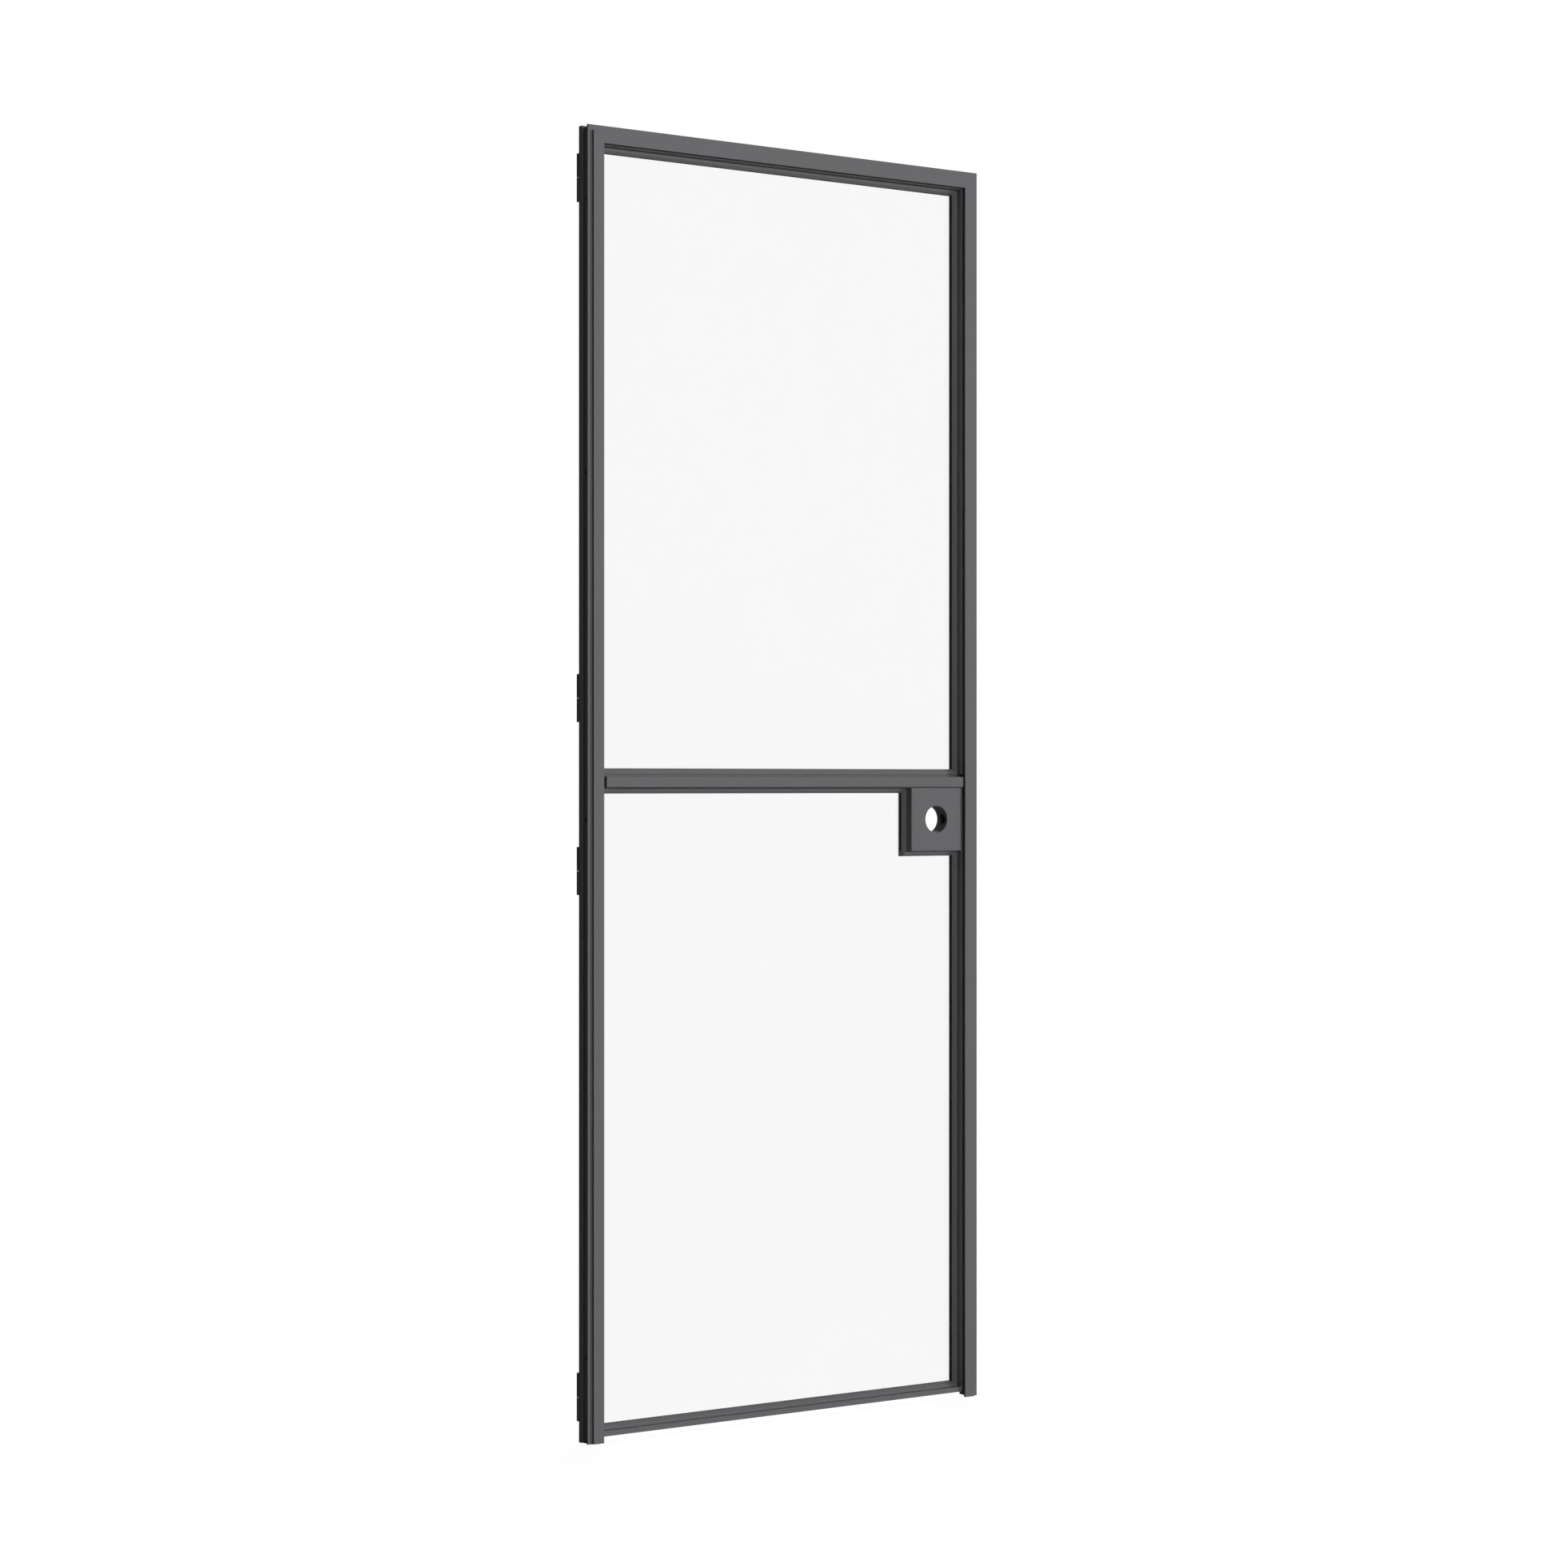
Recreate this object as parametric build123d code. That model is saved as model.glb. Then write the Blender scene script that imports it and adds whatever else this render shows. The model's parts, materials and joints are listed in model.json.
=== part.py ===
from build123d import *
import os

# A steel dutch door: a three-sided steel frame and two glazed leaves, one above the other,
# hung on the left jamb with lift-off pin hinges behind the frame. The lower leaf carries a
# lock case with a round bore. All sizes are in millimetres.
#
# Working frame: X runs across the door from the hinge jamb's outer side, Y runs from the
# front of the frame's face strip towards the back, Z runs up from the floor.
# Each piece is moved at the end so that the origin lies on the hinge jamb's side face.

# Overall size
frame_width = 920.0
frame_height = 2460.0
frame_depth = 32.0

# Frame section
frame_bar_width = 20.0
front_lip_depth = 4.0
side_groove_depth = 4.0
back_lip_depth = 11.0
sightline = 33.3
stop_inset = 10.0
stop_thickness = 5.0

# Fixing screws through the jambs
screw_hole_radius = 3.0
screw_first = 160.0
screw_pitch = 502.5
screw_below_top = 137.0
screw_upper_pitch = 511.0
strike_screw_drop = 60.0

# Clearances
leaf_gap = 6.0
stop_gap = 5.0
floor_gap = 10.0
meeting_gap = 5.0
plate_end_gap = 5.5
glass_edge_gap = 2.0

# Leaf section
leaf_thickness = 27.0
leaf_bar_width = 9.9
ledge_thickness = 3.0
glass_thickness = 6.0
bead_depth = 6.0
bead_face_width = 5.5
bead_slope_width = 5.0

# Meeting of the two leaves
lower_leaf_top = 1244.6
meeting_plate_height = 20.0
meeting_plate_reveal = 1.7
upper_rail_thickness = 3.0

# Lock case in the lower leaf
lock_width = 124.0
lock_height = 125.9
lock_bore_radius = 27.0
lock_plate_side_gap = 3.2
cover_plate_thickness = 3.0
latch_bore_radius = 11.0
strike_height = 30.0
strike_depth = 14.0

# Hinges
hinge_height = 90.0
hinge_below_top = 68.0
hinge_above_meeting = 141.9
hinge_below_meeting = 176.9
hinge_above_bottom = 72.7
barrel_radius = 7.5
barrel_x = 10.0
barrel_behind_frame = 9.5
hinge_plate_thickness = 3.0
leaf_plate_thickness = 3.5
leaf_plate_packing = 3.0
hinge_plate_inset = 1.0
pin_radius = 4.5
pin_running_clearance = 0.05
knuckle_gap = 1.0
washer_clearance = 0.3
knuckle_cap = 3.0

# Places that follow from the sizes above
quarter_turn = 90.0
leaf_left = frame_bar_width + leaf_gap
leaf_front = stop_gap
leaf_right = frame_width - leaf_left
leaf_back = leaf_front + leaf_thickness
leaf_middle = (leaf_front + leaf_back) / 2
leaf_inner_left = leaf_left + leaf_bar_width
leaf_inner_right = leaf_right - leaf_bar_width
ledge_front = leaf_back - ledge_thickness
glass_front = ledge_front - glass_thickness
bead_front = glass_front - bead_depth
rebate = bead_face_width + bead_slope_width
upper_leaf_bottom = lower_leaf_top + meeting_gap
upper_leaf_top = frame_height - frame_bar_width - leaf_gap
meeting_plate_bottom = lower_leaf_top - meeting_plate_height
lower_rail_bottom = meeting_plate_bottom - meeting_plate_reveal
barrel_y = frame_depth + barrel_behind_frame
lock_left = leaf_inner_right - lock_plate_side_gap - lock_width
lock_bottom = lower_rail_bottom - lock_height
lock_bore_x = lock_left + lock_width / 2
lock_bore_z = lock_bottom + lock_height / 2
shared_screw_heights = (
    screw_first,
    screw_first + screw_pitch,
    frame_height - screw_below_top - screw_upper_pitch,
    frame_height - screw_below_top,
)
hinge_jamb_middle_screw = screw_first + 2 * screw_pitch
lock_jamb_middle_screw = lock_bore_z - strike_screw_drop
hinge_centres_upper = (upper_leaf_bottom + hinge_above_meeting, upper_leaf_top - hinge_below_top)
hinge_centres_lower = (floor_gap + hinge_above_bottom, lower_leaf_top - hinge_below_meeting)
side_groove_back = frame_depth - back_lip_depth
side_groove_middle = (front_lip_depth + side_groove_back) / 2
side_face_middle = (side_groove_back + frame_depth) / 2


def block(x, y, z):
    """A box from three (low, high) pairs."""
    size = Box(x[1] - x[0], y[1] - y[0], z[1] - z[0])
    return Pos((x[0] + x[1]) / 2, (y[0] + y[1]) / 2, (z[0] + z[1]) / 2) * size


def upright(outline, z):
    """An outline in X and Y carried up from z[0] to z[1]."""
    face = Polygon(*outline, align=None)
    return Pos(0, 0, z[0]) * extrude(face, z[1] - z[0], dir=(0, 0, 1))


def lengthwise(outline, x):
    """An outline in Y and Z carried across from x[0] to x[1]."""
    plane = Plane(origin=(x[0], 0, 0), x_dir=(0, 1, 0), z_dir=(1, 0, 0))
    return extrude(plane * Polygon(*outline, align=None), x[1] - x[0], dir=(1, 0, 0))


def slab(outline, y):
    """An outline in X and Z, as seen from the front, carried back from y[0] to y[1]."""
    plane = Plane(origin=(0, y[1], 0), x_dir=(1, 0, 0), z_dir=(0, -1, 0))
    return extrude(plane * Polygon(*outline, align=None), y[1] - y[0], dir=(0, -1, 0))


def rod(x, y, z, radius):
    """An upright cylinder."""
    return Pos(x, y, (z[0] + z[1]) / 2) * Cylinder(radius, z[1] - z[0])


def mirrored(shape):
    """The same piece on the lock side of the door."""
    middle = Plane(origin=(frame_width / 2, 0, 0), z_dir=(1, 0, 0))
    return mirror(shape, about=middle)


# The frame: each outline is given as (distance in from the frame's outer edge, Y)
def frame_bar_outline():
    return [
        (0, 0),
        (frame_bar_width, 0),
        (frame_bar_width, frame_depth),
        (0, frame_depth),
        (0, side_groove_back),
        (side_groove_depth, side_groove_back),
        (side_groove_depth, front_lip_depth),
        (0, front_lip_depth),
    ]


def stop_outline():
    return [
        (stop_inset, -stop_thickness),
        (sightline, -stop_thickness),
        (sightline, 0),
        (stop_inset, 0),
    ]


def left_frame_member(outline, reach):
    """A jamb or its stop: from the floor to a mitre at the top left corner."""
    member = upright(outline, (0, frame_height))
    corner = [(0, 0), (reach, 0), (reach, frame_height - reach), (0, frame_height)]
    return member & slab(corner, (-stop_thickness, frame_depth))


def head_member(outline, reach):
    """The head or its stop: between two mitres at the top of the frame."""
    turned = [(y, frame_height - inward) for inward, y in outline]
    member = lengthwise(turned, (0, frame_width))
    top = frame_height
    corner = [(0, top), (reach, top - reach), (frame_width - reach, top - reach), (frame_width, top)]
    return member & slab(corner, (-stop_thickness, frame_depth))


def left_jamb(middle_screw):
    """A jamb drilled for its fixing screws, through the floor of its side groove."""
    jamb = left_frame_member(frame_bar_outline(), frame_bar_width)
    for height in (*shared_screw_heights, middle_screw):
        jamb -= cross_bore((0, frame_bar_width), side_groove_middle, height, screw_hole_radius)
    return jamb


def strike_pocket():
    """The pocket for the latch bolt, cut into the lock jamb's inner face."""
    jamb_face = frame_width - frame_bar_width
    y = (leaf_middle - latch_bore_radius, leaf_middle + latch_bore_radius)
    z = (lock_bore_z - strike_height / 2, lock_bore_z + strike_height / 2)
    return block((jamb_face, jamb_face + strike_depth), y, z)


def cross_bore(x, y, z, radius):
    """A round cut along X, from x[0] to x[1]."""
    return Pos((x[0] + x[1]) / 2, y, z) * Rot(0, quarter_turn, 0) * Cylinder(radius, x[1] - x[0])


# The leaves
def stile(z):
    """A hinge stile: a flat bar on edge with the glazing ledge near its back."""
    outline = [
        (leaf_left, leaf_front),
        (leaf_inner_left, leaf_front),
        (leaf_inner_left, ledge_front),
        (leaf_inner_left + rebate, ledge_front),
        (leaf_inner_left + rebate, leaf_back),
        (leaf_left, leaf_back),
    ]
    return upright(outline, z)


def rail(bar_z, bar_front, ledge_z, x):
    """A rail: a flat bar on edge, joined to the glazing ledge above or below it."""
    bar = block(x, (bar_front, leaf_back), bar_z)
    return bar + block(x, (ledge_front, leaf_back), ledge_z)


def bead_outline(edge, side):
    """The glazing bead's section in (Y, distance), from its bar's edge towards the glass."""
    return [
        (bead_front, edge),
        (bead_front, edge + side * bead_face_width),
        (glass_front, edge + side * rebate),
        (glass_front, edge),
    ]


def flat_bead(edge, side, x, trim):
    """A bead along X, trimmed to its mitres by the outline trim, as seen from the front."""
    bead = lengthwise(bead_outline(edge, side), x)
    return bead & slab(trim, (bead_front, glass_front))


def upright_bead(edge, side, z, trim):
    """A bead along Z, trimmed to its mitres by the outline trim, as seen from the front."""
    outline = [(across, y) for y, across in bead_outline(edge, side)]
    return upright(outline, z) & slab(trim, (bead_front, glass_front))


def mitred(start, end, start_step, end_step):
    """A bead's front outline: its bar edge from start to end, and the edge beside the glass."""
    inner_end = (end[0] + rebate * end_step[0], end[1] + rebate * end_step[1])
    inner_start = (start[0] + rebate * start_step[0], start[1] + rebate * start_step[1])
    return [start, end, inner_end, inner_start]


def glass(outline):
    return slab(outline, (glass_front, ledge_front))


def upper_leaf():
    left, right = leaf_inner_left, leaf_inner_right
    bottom, top = upper_leaf_bottom, upper_leaf_top - leaf_bar_width
    hinge_stile = stile((upper_leaf_bottom, upper_leaf_top))
    lock_stile = mirrored(hinge_stile)
    x, z = (left, right), (bottom, top)
    top_rail = rail((top, upper_leaf_top), leaf_front, (top - rebate, top), x)
    rail_top = bottom + upper_rail_thickness
    bottom_rail = rail((bottom, rail_top), glass_front, (rail_top, bottom + rebate), x)
    for stile_piece in (hinge_stile, lock_stile):
        top_rail -= stile_piece
        bottom_rail -= stile_piece
    pane = [
        (left + glass_edge_gap, rail_top),
        (right - glass_edge_gap, rail_top),
        (right - glass_edge_gap, top - glass_edge_gap),
        (left + glass_edge_gap, top - glass_edge_gap),
    ]
    lower_left, lower_right = (left, bottom), (right, bottom)
    upper_left, upper_right = (left, top), (right, top)
    return {
        "upper_hinge_stile": hinge_stile,
        "upper_lock_stile": lock_stile,
        "upper_top_rail": top_rail,
        "upper_bottom_rail": bottom_rail,
        "upper_glass": glass(pane),
        "upper_bead_bottom": flat_bead(
            bottom, 1, x, mitred(lower_left, lower_right, (1, 1), (-1, 1))
        ),
        "upper_bead_top": flat_bead(top, -1, x, mitred(upper_left, upper_right, (1, -1), (-1, -1))),
        "upper_bead_hinge_side": upright_bead(
            left, 1, z, mitred(lower_left, upper_left, (1, 1), (1, -1))
        ),
        "upper_bead_lock_side": upright_bead(
            right, -1, z, mitred(lower_right, upper_right, (-1, 1), (-1, -1))
        ),
    }


def lock_case():
    """The lock case, with its own glazing ledge along its free side and its underside."""
    top = lower_rail_bottom
    case = block((lock_left, leaf_inner_right), (leaf_front, leaf_back), (lock_bottom, top))
    ledge = block(
        (lock_left - rebate, leaf_inner_right),
        (ledge_front, leaf_back),
        (lock_bottom - rebate, top),
    )
    return case + ledge - lock_bore() - latch_bore()


def lock_bore():
    """The round bore from front to back, through the case and both cover plates."""
    length = leaf_thickness + 2 * cover_plate_thickness
    bore = Rot(quarter_turn, 0, 0) * Cylinder(lock_bore_radius, length)
    return Pos(lock_bore_x, leaf_middle, lock_bore_z) * bore


def latch_bore():
    """The bore for the latch, from the round bore out through the lock stile's edge."""
    return cross_bore((lock_bore_x, leaf_right), leaf_middle, lock_bore_z, latch_bore_radius)


def lock_plate(y):
    plate = block((lock_left, lock_left + lock_width), y, (lock_bottom, lower_rail_bottom))
    return plate - lock_bore()


def lower_leaf():
    left, right = leaf_inner_left, leaf_inner_right
    bottom, top = floor_gap + leaf_bar_width, lower_rail_bottom
    hinge_stile = stile((floor_gap, top))
    lock_stile = mirrored(hinge_stile) - latch_bore()
    between = (left, right)
    bottom_rail = rail((floor_gap, bottom), leaf_front, (bottom, bottom + rebate), between)
    top_bar = block((leaf_left, leaf_right), (leaf_front, leaf_back), (top, lower_leaf_top))
    top_ledge = block(between, (ledge_front, leaf_back), (top - rebate, top))
    case = lock_case()
    for stile_piece in (hinge_stile, lock_stile):
        bottom_rail -= stile_piece
        top_ledge -= stile_piece
        case -= stile_piece
    top_ledge -= block((lock_left - rebate, leaf_right), (leaf_front, leaf_back), (lock_bottom, top))
    pane = [
        (left + glass_edge_gap, bottom + glass_edge_gap),
        (right - glass_edge_gap, bottom + glass_edge_gap),
        (right - glass_edge_gap, lock_bottom - glass_edge_gap),
        (lock_left - glass_edge_gap, lock_bottom - glass_edge_gap),
        (lock_left - glass_edge_gap, top - glass_edge_gap),
        (left + glass_edge_gap, top - glass_edge_gap),
    ]
    lower_left, lower_right, upper_left = (left, bottom), (right, bottom), (left, top)
    under_lock, beside_lock = (right, lock_bottom), (lock_left, top)
    lock_corner = (lock_left, lock_bottom)
    return {
        "lower_hinge_stile": hinge_stile,
        "lower_lock_stile": lock_stile,
        "lower_bottom_rail": bottom_rail,
        "lower_top_rail": top_bar + top_ledge,
        "meeting_plate": block(
            (sightline + plate_end_gap, frame_width - sightline - plate_end_gap),
            (-stop_thickness, leaf_front),
            (meeting_plate_bottom, lower_leaf_top),
        ),
        "lock_case": case,
        "lock_front_plate": lock_plate((leaf_front - cover_plate_thickness, leaf_front)),
        "lock_back_plate": lock_plate((leaf_back, leaf_back + cover_plate_thickness)),
        "lower_glass": glass(pane),
        "lower_bead_bottom": flat_bead(
            bottom, 1, (left, right), mitred(lower_left, lower_right, (1, 1), (-1, 1))
        ),
        "lower_bead_top": flat_bead(
            top, -1, (left, lock_left), mitred(upper_left, beside_lock, (1, -1), (-1, -1))
        ),
        "lower_bead_hinge_side": upright_bead(
            left, 1, (bottom, top), mitred(lower_left, upper_left, (1, 1), (1, -1))
        ),
        "lower_bead_lock_side": upright_bead(
            right, -1, (bottom, lock_bottom), mitred(lower_right, under_lock, (-1, 1), (-1, -1))
        ),
        "lock_bead_side": upright_bead(
            lock_left,
            -1,
            (lock_bottom - rebate, top),
            mitred(beside_lock, lock_corner, (-1, -1), (-1, -1)),
        ),
        "lock_bead_under": flat_bead(
            lock_bottom,
            -1,
            (lock_left - rebate, right),
            mitred(lock_corner, under_lock, (-1, -1), (-1, -1)),
        ),
    }


# The hinges: the frame's half with its pin pressed in below, the leaf's half running on it above
def frame_hinge_half(centre):
    z = (centre - hinge_height / 2, centre - knuckle_gap / 2)
    knuckle = rod(barrel_x, barrel_y, z, barrel_radius)
    plate_x = (barrel_x - barrel_radius, frame_bar_width - hinge_plate_inset)
    plate = block(plate_x, (frame_depth, frame_depth + hinge_plate_thickness), z)
    fill = block((barrel_x - barrel_radius, barrel_x), (frame_depth, barrel_y), z)
    return knuckle + plate + fill - rod(barrel_x, barrel_y, z, pin_radius)


def hinge_pin(centre):
    """The pin, with the thin washer that carries the leaf's knuckle."""
    z = (centre - hinge_height / 2, centre + hinge_height / 2 - knuckle_cap - knuckle_gap / 2)
    washer_z = (centre - knuckle_gap / 2, centre + knuckle_gap / 2 - washer_clearance)
    return rod(barrel_x, barrel_y, z, pin_radius) + rod(barrel_x, barrel_y, washer_z, barrel_radius)


def leaf_hinge_half(centre):
    z = (centre + knuckle_gap / 2, centre + hinge_height / 2)
    knuckle = rod(barrel_x, barrel_y, z, barrel_radius)
    plate_front = leaf_back + leaf_plate_packing
    plate_y = (plate_front, plate_front + leaf_plate_thickness)
    plate = block((barrel_x, leaf_inner_left), plate_y, z)
    plate += block((leaf_left, leaf_inner_left), (leaf_back, plate_front), z)
    bore_z = (z[0], z[1] - knuckle_cap)
    return knuckle + plate - rod(barrel_x, barrel_y, bore_z, pin_radius + pin_running_clearance)


nodes = {
    "hinge_jamb": left_jamb(hinge_jamb_middle_screw),
    "lock_jamb": mirrored(left_jamb(lock_jamb_middle_screw)) - strike_pocket(),
    "head": head_member(frame_bar_outline(), frame_bar_width),
    "hinge_jamb_stop": left_frame_member(stop_outline(), sightline),
    "lock_jamb_stop": mirrored(left_frame_member(stop_outline(), sightline)),
    "head_stop": head_member(stop_outline(), sightline),
}
nodes.update(upper_leaf())
nodes.update(lower_leaf())

for leaf_name, centres in (("upper", hinge_centres_upper), ("lower", hinge_centres_lower)):
    for place, centre in zip(("bottom", "top"), centres):
        nodes[f"{leaf_name}_{place}_hinge_frame_half"] = frame_hinge_half(centre)
        nodes[f"{leaf_name}_{place}_hinge_pin"] = hinge_pin(centre)
        nodes[f"{leaf_name}_{place}_hinge_leaf_half"] = leaf_hinge_half(centre)

os.makedirs("parts", exist_ok=True)
for name, shape in nodes.items():
    export_step(Pos(0, -side_face_middle, 0) * shape, f"parts/{name}.step")
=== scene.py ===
import json
import math

import bmesh
import bpy
import numpy as np
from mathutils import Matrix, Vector


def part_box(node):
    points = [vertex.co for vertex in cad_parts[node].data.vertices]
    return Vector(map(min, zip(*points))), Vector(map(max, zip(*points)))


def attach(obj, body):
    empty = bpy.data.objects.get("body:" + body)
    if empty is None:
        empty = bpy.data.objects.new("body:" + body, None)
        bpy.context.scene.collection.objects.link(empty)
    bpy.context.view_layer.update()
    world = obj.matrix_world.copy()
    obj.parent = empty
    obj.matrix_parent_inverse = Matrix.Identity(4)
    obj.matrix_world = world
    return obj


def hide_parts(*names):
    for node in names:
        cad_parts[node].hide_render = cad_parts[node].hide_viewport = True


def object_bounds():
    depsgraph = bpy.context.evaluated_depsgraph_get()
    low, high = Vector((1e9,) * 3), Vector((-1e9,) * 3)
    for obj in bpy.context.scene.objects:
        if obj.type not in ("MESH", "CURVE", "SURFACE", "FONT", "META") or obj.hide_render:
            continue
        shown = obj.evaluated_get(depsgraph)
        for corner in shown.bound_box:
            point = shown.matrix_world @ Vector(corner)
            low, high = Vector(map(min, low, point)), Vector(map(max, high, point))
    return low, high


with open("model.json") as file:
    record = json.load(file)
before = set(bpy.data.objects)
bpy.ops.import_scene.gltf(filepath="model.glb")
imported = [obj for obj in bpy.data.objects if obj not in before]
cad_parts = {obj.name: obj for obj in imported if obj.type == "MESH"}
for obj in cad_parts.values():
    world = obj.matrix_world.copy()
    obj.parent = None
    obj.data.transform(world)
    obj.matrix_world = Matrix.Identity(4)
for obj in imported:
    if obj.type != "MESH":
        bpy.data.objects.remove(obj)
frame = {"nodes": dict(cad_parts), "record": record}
cad_low, cad_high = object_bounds()
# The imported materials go, so that the new ones can have the slots' names
for packed in list(bpy.data.materials):
    bpy.data.materials.remove(packed)

ACROSS, BACK, UP = np.eye(3)
MM_PER_METRE = 1000

# Sizes that the frame's boxes and mounts don't give, in metres
FRONT_LIP = 0.004
BACK_LIP = 0.011
SIDE_GROOVE = 0.004
LEAF_BAR = 0.0099
LEDGE = 0.003
BEAD_FACE = 0.0055
STRIKE_HEIGHT = 0.030
STRIKE_DEPTH = 0.014
DRILL_OVERRUN = 0.002
SEAL_CLEARANCE = 0.0001
SEAL_INSET = 0.001

# Rounding at the edges, in metres
STEEL_EDGE = 0.0007
BEAD_EDGE = 0.0005
PLATE_EDGE = 0.0005
STRIKE_CORNER = 0.0005
NOTCH_CORNER = 0.0001
SEAL_ROUND = 0.0008

# How a bar is cut at its start and its end: 0 square, 1 a mitre at an inner corner, -1 at an outer one
SQUARE_ENDS = (0, 0)
MITRED_AT_TOP = (0, 1)
MITRED_ENDS = (1, 1)
ROUND_THE_LOCK = (-1, 1)

# Fineness of the meshes, and their shading
CORNER_STEPS = 3
CIRCLE_STEPS = 40
BORE_STEPS = 96
SHARP_ANGLE = math.radians(40)
FLAT_FACE_WEIGHT = 100

# Powder coat. Here and below, a scale is in features per metre and a bump's depth is in metres
PAINT_TONE = 0.147
PAINT_DARK_TINT = (0.93, 0.93, 0.93)
PAINT_PALE_TINT = (1.06, 1.01, 1.09)
PAINT_CLOUD_SCALE = 5.0
PAINT_SPECK_SCALE = 260.0
PAINT_PEBBLE_SCALE = 900.0
PAINT_CLOUD_SHARE = 0.7
PAINT_ROUGHNESS = 0.54
PAINT_CLOUD_ROUGHNESS = 0.10
PAINT_PEBBLE_ROUGHNESS = 0.06
PAINT_SPECULAR = 0.05
PAINT_BUMP = 0.12
PAINT_BUMP_DEPTH = 0.0002

# Bare pin steel
PIN_DARK = 0.38
PIN_PALE = 0.66
PIN_PALE_TINT = (1.02, 0.98, 1.0)
PIN_RINGS_SCALE = 30.0
PIN_RINGS_STRETCH = (1, 1, 60)
PIN_DULL_SCALE = 140.0
PIN_RINGS_SHARE = 0.6
PIN_ROUGHNESS = 0.28
PIN_DULL_ROUGHNESS = 0.16
PIN_BUMP = 0.15
PIN_BUMP_DEPTH = 0.0001

# Glass
GLASS_DARK = (0.962, 0.963, 0.962, 1.0)
GLASS_PALE = (0.968, 0.969, 0.968, 1.0)
GLASS_FILM_SCALE = 3.0
GLASS_WAVE_SCALE = 1.6
GLASS_MIRROR = 0.04
GLASS_MIRROR_TONE = 0.9
GLASS_ROUGHNESS = 0.02
GLASS_FILM_ROUGHNESS = 0.03
GLASS_BUMP = 0.02
GLASS_BUMP_DEPTH = 0.001
EVEN_BLEND = 0.5

# Seal rubber
RUBBER_DARK = 0.07
RUBBER_PALE = 0.11
RUBBER_BLOOM_SCALE = 60.0
RUBBER_LINES_SCALE = 1500.0
RUBBER_LINES_STRETCH = (0.01, 1, 1)
RUBBER_ROUGHNESS = 0.7
RUBBER_BLOOM_ROUGHNESS = 0.2
RUBBER_BUMP = 0.2
RUBBER_BUMP_DEPTH = 0.0001

# Floor and backdrop
FLOOR_SIZE = 60
FLOOR_GLOW = 0.94
FLOOR_SHADOW_TONE = 0.16
FLOOR_TONE = 0.22
SKY_ON_PAINT = 0.01

# Lamps: a turn is from straight in front towards the lock side, and a spread is in degrees
PANEL_TURN = math.radians(5.0)
PANEL_SPREAD = 50
PANEL_LIGHT = 2.65
KEY_TURN = math.radians(50.0)
KEY_RISE = math.radians(6.0)
KEY_SPREAD = 12
KEY_LIGHT = 1.75
BACK_SOURCE = (0.9, 1.0, 0.5)
BACK_SPREAD = 40
BACK_LIGHT = 2.2

# Camera: its place in metres, and its turn from straight ahead towards the lock side
CAMERA_PLACE = (-3.4221, -5.5507, 1.2305)
CAMERA_TURN = math.radians(35.0)
CAMERA_LENS = 80.0
CAMERA_SENSOR = 36.0


# Shader expressions


class Wire:
    """A socket in a node tree. Arithmetic on it adds Math nodes, and node() adds any other node."""

    def __init__(self, tree, socket=None):
        self.tree = tree
        self.socket = socket

    def node(self, kind, inputs=None, out=0, **settings):
        """A new node's output out: its settings are set first, then its sockets' values and links."""
        made = self.tree.nodes.new(kind)
        for key, value in settings.items():
            setattr(made, key, value)
        for key, value in (inputs or {}).items():
            if isinstance(value, Wire):
                self.tree.links.new(value.socket, made.inputs[key])
            else:
                made.inputs[key].default_value = value
        return Wire(self.tree, made.outputs[out] if len(made.outputs) else None)

    def math(self, operation, a, b):
        """A Math node on two values or links."""
        return self.node("ShaderNodeMath", {0: a, 1: b}, operation=operation)

    def __add__(self, other):
        return self.math("ADD", self, other)

    def __mul__(self, other):
        return self.math("MULTIPLY", self, other)

    __radd__ = __add__
    __rmul__ = __mul__

    def place(self):
        """The point's place in the object's own coordinates."""
        return self.node("ShaderNodeTexCoord", out="Object")

    def mix(self, low, high):
        """The colour low where this is 0 and high where it is 1."""
        inputs = {0: self, 6: low, 7: high}
        return self.node("ShaderNodeMix", inputs, out=2, data_type="RGBA")

    def noise(self, scale, detail, stretch=(1, 1, 1)):
        """Noise on this vector. A stretch under 1 draws it out along that axis, and over 1 presses it."""
        vector = self.node("ShaderNodeMapping", {"Vector": self, "Scale": stretch})
        inputs = {"Vector": vector, "Scale": scale, "Detail": detail}
        return self.node("ShaderNodeTexNoise", inputs)

    def bump(self, strength, depth):
        """A normal bent as if this were the surface's height, with 1 as high as depth."""
        inputs = {"Height": self, "Strength": strength, "Distance": depth}
        return self.node("ShaderNodeBump", inputs)


def new_material(name):
    """An empty material, and a wire to build its nodes with."""
    material = bpy.data.materials.new(name)
    material.use_nodes = True
    material.node_tree.nodes.clear()
    return material, Wire(material.node_tree)


def grey(value, tint=(1, 1, 1)):
    """An opaque grey, times a tint of red, green and blue."""
    return (value * tint[0], value * tint[1], value * tint[2], 1.0)


# Finishes


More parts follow.
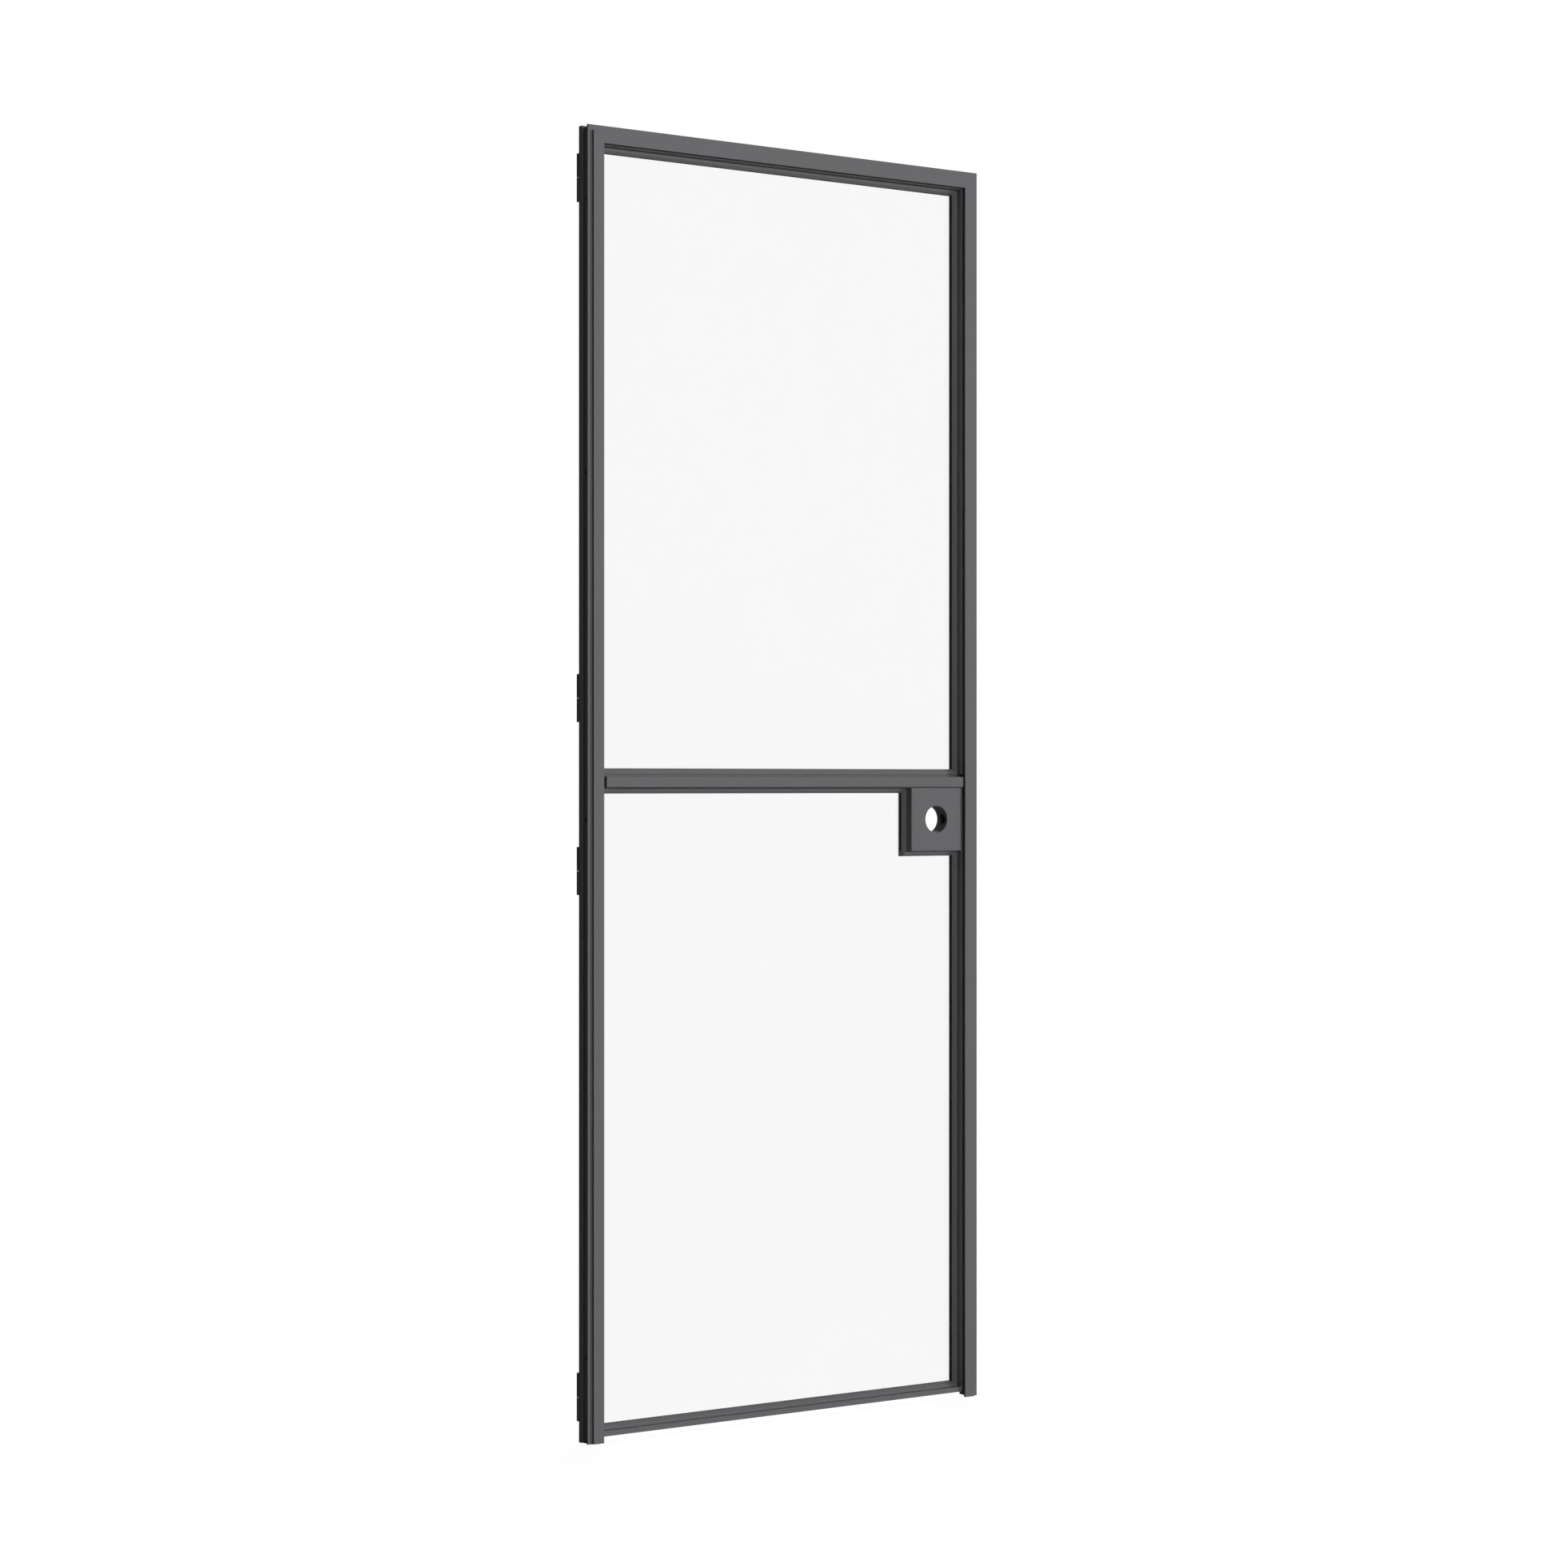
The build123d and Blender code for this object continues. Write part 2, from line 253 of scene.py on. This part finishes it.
def coated_steel(name):
    """Dark grey powder coat: a faint cloud and specks in the tone, and a fine pebbled skin that is almost
    matt, with a roughness that drifts."""
    material, wire = new_material(name)
    place = wire.place()
    cloud = place.noise(PAINT_CLOUD_SCALE, detail=3.0)
    pebble = place.noise(PAINT_PEBBLE_SCALE, detail=2.0)
    speck = place.noise(PAINT_SPECK_SCALE, detail=1.0)
    shade = PAINT_CLOUD_SHARE * cloud + (1 - PAINT_CLOUD_SHARE) * speck
    inputs = {
        "Base Color": shade.mix(grey(PAINT_TONE, PAINT_DARK_TINT), grey(PAINT_TONE, PAINT_PALE_TINT)),
        "Roughness": PAINT_ROUGHNESS + PAINT_CLOUD_ROUGHNESS * cloud + PAINT_PEBBLE_ROUGHNESS * pebble,
        "Normal": pebble.bump(PAINT_BUMP, PAINT_BUMP_DEPTH),
        "Specular IOR Level": PAINT_SPECULAR,
    }
    shader = wire.node("ShaderNodeBsdfPrincipled", inputs)
    wire.node("ShaderNodeOutputMaterial", {"Surface": shader})
    return material


def turned_steel(name):
    """Bare pin steel with fine rings round its length and a little dulling."""
    material, wire = new_material(name)
    place = wire.place()
    rings = place.noise(PIN_RINGS_SCALE, detail=4.0, stretch=PIN_RINGS_STRETCH)
    dull = place.noise(PIN_DULL_SCALE, detail=3.0)
    shade = PIN_RINGS_SHARE * rings + (1 - PIN_RINGS_SHARE) * dull
    inputs = {
        "Base Color": shade.mix(grey(PIN_DARK), grey(PIN_PALE, PIN_PALE_TINT)),
        "Metallic": 1.0,
        "Roughness": PIN_ROUGHNESS + PIN_DULL_ROUGHNESS * dull,
        "Normal": rings.bump(PIN_BUMP, PIN_BUMP_DEPTH),
    }
    shader = wire.node("ShaderNodeBsdfPrincipled", inputs)
    wire.node("ShaderNodeOutputMaterial", {"Surface": shader})
    return material


def clear_glass(name):
    """Float glass: clear with a trace of grey, and slightly wavy. Where it turns away by f, from 0 face on to
    1 edge on, a share m + (1 - m) f^5 of it is a mirror."""
    material, wire = new_material(name)
    place = wire.place()
    film = place.noise(GLASS_FILM_SCALE, detail=2.0)
    wave = place.noise(GLASS_WAVE_SCALE, detail=1.0)
    clear = wire.node("ShaderNodeBsdfTransparent", {"Color": film.mix(GLASS_DARK, GLASS_PALE)})
    inputs = {
        "Base Color": grey(GLASS_MIRROR_TONE),
        "Metallic": 1.0,
        "Roughness": GLASS_ROUGHNESS + GLASS_FILM_ROUGHNESS * film,
        "Normal": wave.bump(GLASS_BUMP, GLASS_BUMP_DEPTH),
    }
    mirror = wire.node("ShaderNodeBsdfPrincipled", inputs)
    facing = wire.node("ShaderNodeLayerWeight", {"Blend": EVEN_BLEND}, out="Facing")
    square = facing * facing
    shine = GLASS_MIRROR + (1 - GLASS_MIRROR) * (square * square * facing)
    shader = wire.node("ShaderNodeMixShader", {0: shine, 1: clear, 2: mirror})
    wire.node("ShaderNodeOutputMaterial", {"Surface": shader})
    return material


def soft_rubber(name):
    """Dark grey extruded rubber: matt, with a dusty bloom and fine lines along its length."""
    material, wire = new_material(name)
    place = wire.place()
    bloom = place.noise(RUBBER_BLOOM_SCALE, detail=3.0)
    lines = place.noise(RUBBER_LINES_SCALE, detail=1.0, stretch=RUBBER_LINES_STRETCH)
    inputs = {
        "Base Color": bloom.mix(grey(RUBBER_DARK), grey(RUBBER_PALE)),
        "Roughness": RUBBER_ROUGHNESS + RUBBER_BLOOM_ROUGHNESS * bloom,
        "Normal": lines.bump(RUBBER_BUMP, RUBBER_BUMP_DEPTH),
    }
    shader = wire.node("ShaderNodeBsdfPrincipled", inputs)
    wire.node("ShaderNodeOutputMaterial", {"Surface": shader})
    return material


def backdrop_rays(wire):
    """1 on the rays that show the white backdrop: from the camera, in a reflection and through glass."""
    kinds = ("Camera", "Glossy", "Transmission")
    seen, mirrored, through = (wire.node("ShaderNodeLightPath", out=f"Is {kind} Ray") for kind in kinds)
    return seen + mirrored + through


def pale_floor(name):
    """A floor that shows near white with a faint shadow, and that bounces a little light onto the door."""
    material, wire = new_material(name)
    path = backdrop_rays(wire)
    glow = wire.node("ShaderNodeEmission", {"Color": grey(1.0), "Strength": FLOOR_GLOW})
    faint = wire.node("ShaderNodeBsdfDiffuse", {"Color": grey(FLOOR_SHADOW_TONE)})
    shown = wire.node("ShaderNodeAddShader", {0: glow, 1: faint})
    bounce = wire.node("ShaderNodeBsdfDiffuse", {"Color": grey(FLOOR_TONE)})
    shader = wire.node("ShaderNodeMixShader", {0: path, 1: bounce, 2: shown})
    wire.node("ShaderNodeOutputMaterial", {"Surface": shader})
    return material


FRAME_PAINT = coated_steel("frame_paint")
LEAF_PAINT = coated_steel("leaf_paint")
BEAD_PAINT = coated_steel("bead_paint")
HINGE_PAINT = coated_steel("hinge_paint")
PIN_STEEL = turned_steel("hinge_pin")
GLASS = clear_glass("glass")
RUBBER = soft_rubber("seal_rubber")


# Mesh makers: a shell is the points and faces of a closed form


def solid(name, vertices, faces):
    """A linked object from a shell, with its faces turned outwards."""
    mesh = bpy.data.meshes.new(name)
    mesh.from_pydata(vertices.tolist(), [], faces)
    shell = bmesh.new()
    shell.from_mesh(mesh)
    bmesh.ops.recalc_face_normals(shell, faces=shell.faces)
    shell.to_mesh(mesh)
    shell.free()
    made = bpy.data.objects.new(name, mesh)
    bpy.context.scene.collection.objects.link(made)
    return made


def cut_away(made, shell):
    """Takes a shell out of a solid."""
    tool = solid("tool", *shell)
    cut = made.modifiers.new("cut", "BOOLEAN")
    cut.operation = "DIFFERENCE"
    cut.object = tool
    cut.solver = "EXACT"
    whole = made.evaluated_get(bpy.context.evaluated_depsgraph_get())
    mesh = bpy.data.meshes.new_from_object(whole)
    made.modifiers.clear()
    made.data = mesh
    bpy.data.objects.remove(tool)


def piece(name, shell, body, material, cuts=()):
    """A finished piece that rides on a body: a shell less its cuts, with its rounded edges shaded smooth
    and its broad faces flat."""
    made = solid(name, *shell)
    for cut in cuts:
        cut_away(made, cut)
    mesh = made.data
    mesh.polygons.foreach_set("use_smooth", np.ones(len(mesh.polygons), bool))
    mesh.set_sharp_from_angle(angle=SHARP_ANGLE)
    mesh.materials.clear()
    mesh.materials.append(material)
    even = made.modifiers.new("even", "WEIGHTED_NORMAL")
    even.weight = FLAT_FACE_WEIGHT
    even.keep_sharp = True
    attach(made, body)
    return made


def steel(node, shell, body, material, cuts=()):
    """The painted steel piece that stands for one CAD node."""
    made = piece(node + "_steel", shell, body, material, cuts)
    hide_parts(node)


def rounded(corners, radius):
    """A closed outline whose corners c are curves (1-t)^2 a + 2t(1-t) c + t^2 b, between the points a and b
    that lie one radius from the corner on its two sides."""
    corner = np.array(corners, float)
    before = np.roll(corner, 1, axis=0) - corner
    after = np.roll(corner, -1, axis=0) - corner
    a = corner + radius * before / np.linalg.norm(before, axis=1)[:, None]
    b = corner + radius * after / np.linalg.norm(after, axis=1)[:, None]
    t = np.linspace(0, 1, CORNER_STEPS + 1)[None, :, None]
    curve = (1 - t) ** 2 * a[:, None] + 2 * t * (1 - t) * corner[:, None] + t**2 * b[:, None]
    return curve.reshape(-1, 2)


def bar(section, start, run, inward, length, slopes=SQUARE_ENDS):
    """A section of (inward, back) points carried along a straight run. A point starts slope times its inward
    distance along the run, and stops as far short of the other end."""
    u, v = section.T
    flat = np.array(start, float) + u[:, None] * inward + v[:, None] * BACK
    first = flat + (slopes[0] * u)[:, None] * run
    last = flat + (length - slopes[1] * u)[:, None] * run
    count = len(section)
    i = np.arange(count)
    j = (i + 1) % count
    sides = np.stack([i, j, j + count, i + count], axis=1).tolist()
    return np.concatenate([first, last]), [*sides, i.tolist(), (i + count).tolist()]


def block(low, high, radius):
    """A bar along X between two corners, with its long edges rounded."""
    low, high = np.array(low, float), np.array(high, float)
    length, depth, height = high - low
    section = rounded([(0, 0), (height, 0), (height, depth), (0, depth)], radius)
    return bar(section, low, ACROSS, UP, length)


def round_bar(start, length, radius):
    """A bar along X whose section is a circle: radius times the cosine and sine of an angle."""
    angle = np.arange(CIRCLE_STEPS) * 2 * math.pi / CIRCLE_STEPS
    circle = radius * np.stack([np.cos(angle), np.sin(angle)], axis=1)
    return bar(circle, start, ACROSS, UP, length)


def bored_plate(low, high, hole, edge):
    """A plate in X and Z with a round hole through its middle: the outline at an angle is the hole's circle
    or the rectangle's edge on that ray, and both meet the two faces over a small chamfer."""
    low, high = np.array(low, float), np.array(high, float)
    middle, half = (low + high) / 2, (high - low) / 2
    corner = math.atan2(half[2], half[0])
    corners = [corner, math.pi - corner, math.pi + corner, 2 * math.pi - corner]
    angle = np.unique(np.concatenate([np.arange(BORE_STEPS) * 2 * math.pi / BORE_STEPS, corners]))
    ray = np.stack([np.cos(angle), np.sin(angle)], axis=1)
    reach = 1 / np.max(np.abs(ray) / half[[0, 2]], axis=1)
    inner, outer = ray * hole, ray * reach[:, None]
    shrink = (half[[0, 2]] - edge) / half[[0, 2]]
    rows = [
        (inner, low[1] + edge),
        (ray * (hole + edge), low[1]),
        (outer * shrink, low[1]),
        (outer, low[1] + edge),
        (outer, high[1] - edge),
        (outer * shrink, high[1]),
        (ray * (hole + edge), high[1]),
        (inner, high[1] - edge),
    ]
    points = [
        np.stack([flat[:, 0] + middle[0], np.full(len(flat), y), flat[:, 1] + middle[2]], axis=1)
        for flat, y in rows
    ]
    return ring(np.array(points))


def ring(points):
    """A shell of quads over rows of points that closes both ways, as a ring's surface does."""
    rows, count = points.shape[:2]
    i, j = np.meshgrid(np.arange(rows), np.arange(count), indexing="ij")
    down, along = (i + 1) % rows, (j + 1) % count
    quads = [i * count + j, i * count + along, down * count + along, down * count + j]
    return points.reshape(-1, 3), np.stack(quads, axis=-1).reshape(-1, 4).tolist()


# Holes, placed by the record's mounts


def mount(name):
    """The record's row for one mount."""
    return next(row for row in frame["record"]["mounts"] if row["name"] == name)


def bore_radius(name):
    """The radius of a bore that is a mount, in metres."""
    return mount(name)["dims"]["r_mm"] / MM_PER_METRE


def fixing_holes(side):
    """Drills along X through one jamb, one for each fixing screw."""
    low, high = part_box(side + "_jamb")
    middle = side + "_jamb_middle_fixing"
    centres = [mount(middle)["pos_m"]]
    for place in ("lower", "upper"):
        row = mount(f"{side}_jamb_{place}_fixings")
        x, y, z = row["pos_m"]
        half = row["dims"]["spacing_y_mm"] / MM_PER_METRE / 2
        centres += [(x, y, z - half), (x, y, z + half)]
    start = low.x - DRILL_OVERRUN
    length = high.x - low.x + 2 * DRILL_OVERRUN
    return [round_bar((start, y, z), length, bore_radius(middle)) for _, y, z in centres]


def strike_pocket():
    """The latch bolt's pocket in the lock jamb, as wide as the latch's bore and open to the leaf."""
    _, y, z = mount("latch_bore")["pos_m"]
    reach = bore_radius("latch_bore")
    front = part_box("lock_jamb")[0].x
    low = (front - DRILL_OVERRUN, y - reach, z - STRIKE_HEIGHT / 2)
    high = (front + STRIKE_DEPTH, y + reach, z + STRIKE_HEIGHT / 2)
    return block(low, high, STRIKE_CORNER)


def latch_hole():
    """The latch's bore through the lower lock stile."""
    _, y, z = mount("latch_bore")["pos_m"]
    low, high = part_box("lower_lock_stile")
    start = (low.x - DRILL_OVERRUN, y, z)
    return round_bar(start, high.x - low.x + 2 * DRILL_OVERRUN, bore_radius("latch_bore"))


# The frame


def jamb_section():
    """A bar with a groove in its outer side, between a narrow front lip and a wider back lip."""
    low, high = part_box("hinge_jamb")
    width, depth = high.x - low.x, high.y - low.y
    outline = [
        (0, 0),
        (width, 0),
        (width, depth),
        (0, depth),
        (0, depth - BACK_LIP),
        (SIDE_GROOVE, depth - BACK_LIP),
        (SIDE_GROOVE, FRONT_LIP),
        (0, FRONT_LIP),
    ]
    return rounded(outline, STEEL_EDGE)


def stop_section():
    """A flat strip on the jamb's front, from where it laps the jamb to its edge in the opening."""
    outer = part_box("hinge_jamb")[0].x
    low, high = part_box("hinge_jamb_stop")
    thick = high.y - low.y
    lap, sight = low.x - outer, high.x - outer
    return rounded([(lap, -thick), (sight, -thick), (sight, 0), (lap, 0)], STEEL_EDGE)


def frame_pieces():
    """The jambs and the head, then a stop on each: square at the floor and mitred at the head's corners."""
    cuts = {
        "hinge_jamb": fixing_holes("hinge"),
        "lock_jamb": [*fixing_holes("lock"), strike_pocket()],
    }
    low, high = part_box("hinge_jamb")
    head_low, head_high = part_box("head")
    left = (low.x, low.y, low.z)
    right = (head_high.x, low.y, low.z)
    top = (head_low.x, low.y, high.z)
    height, span = high.z - low.z, head_high.x - head_low.x
    runs = (
        ("hinge_jamb", left, UP, ACROSS, height, MITRED_AT_TOP),
        ("lock_jamb", right, UP, -ACROSS, height, MITRED_AT_TOP),
        ("head", top, ACROSS, -UP, span, MITRED_ENDS),
    )
    for kind, section in (("", jamb_section()), ("_stop", stop_section())):
        for side, start, run, inward, length, slopes in runs:
            node = side + kind
            shell = bar(section, start, run, inward, length, slopes)
            steel(node, shell, "frame", FRAME_PAINT, cuts.get(node, ()))


# The leaves


def ledged_section(bar_width, reach, depth):
    """An L of (inward, back) points: a bar as deep as the leaf, and a thin ledge from its back edge."""
    outline = [
        (0, 0),
        (bar_width, 0),
        (bar_width, depth - LEDGE),
        (reach, depth - LEDGE),
        (reach, depth),
        (0, depth),
    ]
    return rounded(outline, STEEL_EDGE)


def stile(node, body, inward):
    """An upright of a leaf, with square ends. The latch's hole goes through the lower lock stile."""
    low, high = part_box(node)
    outer = low.x if inward[0] > 0 else high.x
    section = ledged_section(LEAF_BAR, high.x - low.x, high.y - low.y)
    shell = bar(section, (outer, low.y, low.z), UP, inward, high.z - low.z)
    cuts = [latch_hole()] if node == "lower_lock_stile" else ()
    steel(node, shell, body, LEAF_PAINT, cuts)


def rail(node, inward, bar_edge, ledge_ends, notch_top=None):
    """A rail: a bar on edge whose ledge starts at the height bar_edge and runs between ledge_ends. Beyond
    them its back is notched for the stiles' ledges, up to notch_top or right through."""
    low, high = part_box(node)
    rising = inward[2] > 0
    bar_width = bar_edge - low.z if rising else high.z - bar_edge
    section = ledged_section(bar_width, high.z - low.z, high.y - low.y)
    start = (low.x, low.y, low.z if rising else high.z)
    shell = bar(section, start, ACROSS, inward, high.x - low.x)
    left, right = ledge_ends
    front, back = high.y - LEDGE, high.y + DRILL_OVERRUN
    foot = low.z - DRILL_OVERRUN
    top = high.z + DRILL_OVERRUN if notch_top is None else notch_top
    notches = [
        block((low.x - DRILL_OVERRUN, front, foot), (left, back, top), NOTCH_CORNER),
        block((right, front, foot), (high.x + DRILL_OVERRUN, back, top), NOTCH_CORNER),
    ]
    steel(node, shell, node.split("_")[0] + "_leaf", LEAF_PAINT, notches)


def rails():
    """The four rails. The lower leaf's top rail has a whole bar, and its ledge ends at the lock's bead."""
    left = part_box("upper_hinge_stile")[1].x
    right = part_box("upper_lock_stile")[0].x
    rail("upper_top_rail", -UP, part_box("upper_bead_top")[1].z, (left, right))
    rail("upper_bottom_rail", UP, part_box("upper_glass")[0].z, (left, right))
    rail("lower_bottom_rail", UP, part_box("lower_bead_bottom")[0].z, (left, right))
    bar_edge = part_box("lower_bead_top")[1].z
    rail("lower_top_rail", -UP, bar_edge, (left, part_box("lock_bead_side")[0].x), notch_top=bar_edge)


def bead(node, body, run, inward, slopes):
    """A glazing bead: a flat face and a slope down to the glass, mitred to its neighbours. At an outer corner
    the mitre runs back past the start, so the bar starts that much later to fill the node's box."""
    low, high = (np.array(corner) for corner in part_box(node))
    rebate = float(np.abs(inward) @ (high - low))
    depth = high[1] - low[1]
    section = rounded([(0, 0), (BEAD_FACE, 0), (rebate, depth), (0, depth)], BEAD_EDGE)
    overhang = [rebate if slope < 0 else 0 for slope in slopes]
    start = np.where(inward < 0, high, low)
    start[1] = low[1]
    start = start + run * overhang[0]
    length = float(run @ (high - low)) - sum(overhang)
    steel(node, bar(section, start, run, inward, length, slopes), body, BEAD_PAINT)


def leaf_pieces():
    """Each leaf's stiles and beads, the beads round the lock, the rails, and the plates."""
    for leaf in ("upper", "lower"):
        body = leaf + "_leaf"
        stile(leaf + "_hinge_stile", body, ACROSS)
        stile(leaf + "_lock_stile", body, -ACROSS)
        for side, run, inward in (
            ("bottom", ACROSS, UP),
            ("top", ACROSS, -UP),
            ("hinge_side", UP, ACROSS),
            ("lock_side", UP, -ACROSS),
        ):
            bead(f"{leaf}_bead_{side}", body, run, inward, MITRED_ENDS)
    bead("lock_bead_side", "lower_leaf", UP, -ACROSS, ROUND_THE_LOCK)
    bead("lock_bead_under", "lower_leaf", ACROSS, -UP, ROUND_THE_LOCK)
    rails()
    steel("meeting_plate", block(*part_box("meeting_plate"), STEEL_EDGE), "lower_leaf", LEAF_PAINT)
    for node in ("lock_front_plate", "lock_back_plate"):
        shell = bored_plate(*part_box(node), bore_radius("knob_bore"), PLATE_EDGE)
        steel(node, shell, "lower_leaf", LEAF_PAINT)


def meeting_seal():
    """A rubber strip under the upper leaf that hangs down to the lower leaf's top and closes the gap."""
    low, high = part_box("upper_bottom_rail")
    left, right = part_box("upper_hinge_stile")[0].x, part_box("upper_lock_stile")[1].x
    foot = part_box("lower_top_rail")[1].z + SEAL_CLEARANCE
    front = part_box("upper_bead_bottom")[0].y + SEAL_INSET
    shell = block((left, front, foot), (right, high.y - SEAL_INSET, low.z), SEAL_ROUND)
    piece("meeting_seal", shell, "upper_leaf", RUBBER)


# Materials on the CAD nodes


def dress_nodes():
    """Every CAD node gets the material of its slot. The steel pieces then stand for most of them."""
    materials = {m.name: m for m in (FRAME_PAINT, LEAF_PAINT, BEAD_PAINT, HINGE_PAINT, PIN_STEEL, GLASS)}
    slots = {row["node"]: row["material_slot"] for row in frame["record"]["subparts"]}
    for node, shape in frame["nodes"].items():
        shape.data.materials.clear()
        shape.data.materials.append(materials[slots[node]])


# The studio


def floor():
    """A wide square level with the door's foot."""
    bpy.ops.mesh.primitive_plane_add(size=FLOOR_SIZE, location=(0, 0, cad_low.z))
    made = bpy.context.object
    made.name = "floor"
    made.data.materials.append(pale_floor("floor"))


def backdrop():
    """A world that shows white, and that hardly lights the paint."""
    world = bpy.data.worlds.new("studio")
    world.use_nodes = True
    world.node_tree.nodes.clear()
    bpy.context.scene.world = world
    wire = Wire(world.node_tree)
    strength = backdrop_rays(wire) * (1 - SKY_ON_PAINT) + SKY_ON_PAINT
    sky = wire.node("ShaderNodeBackground", {"Color": grey(1.0), "Strength": strength})
    wire.node("ShaderNodeOutputWorld", {"Surface": sky})


def lamp(name, source, strength, spread):
    """A sun that shines from the direction source, as a soft disc spread degrees wide."""
    light = bpy.data.lights.new(name, "SUN")
    light.energy = strength
    light.angle = math.radians(spread)
    made = bpy.data.objects.new(name, light)
    made.rotation_mode = "QUATERNION"
    made.rotation_quaternion = Vector(source).to_track_quat("Z", "Y")
    bpy.context.scene.collection.objects.link(made)


def in_front(turn, rise=0.0):
    """The direction of a lamp in front of the door, turned towards the lock side and raised."""
    return (math.sin(turn), -math.cos(turn), math.tan(rise))


def lamps():
    """A broad panel in front, a smaller key lamp on the lock side, and a fill lamp behind."""
    lamp("front_panel", in_front(PANEL_TURN), PANEL_LIGHT, PANEL_SPREAD)
    lamp("key", in_front(KEY_TURN, KEY_RISE), KEY_LIGHT, KEY_SPREAD)
    lamp("back_fill", BACK_SOURCE, BACK_LIGHT, BACK_SPREAD)


def camera():
    """The photograph's camera: level, on the hinge side, and turned towards the lock side."""
    data = bpy.data.cameras.new("camera")
    data.lens = CAMERA_LENS
    data.sensor_width = CAMERA_SENSOR
    made = bpy.data.objects.new("camera", data)
    made.location = CAMERA_PLACE
    made.rotation_euler = (math.pi / 2, 0, -CAMERA_TURN)
    bpy.context.scene.collection.objects.link(made)
    bpy.context.scene.camera = made


dress_nodes()
frame_pieces()
leaf_pieces()
meeting_seal()
floor()
backdrop()
lamps()
camera()
bpy.context.scene.view_settings.view_transform = "Standard"
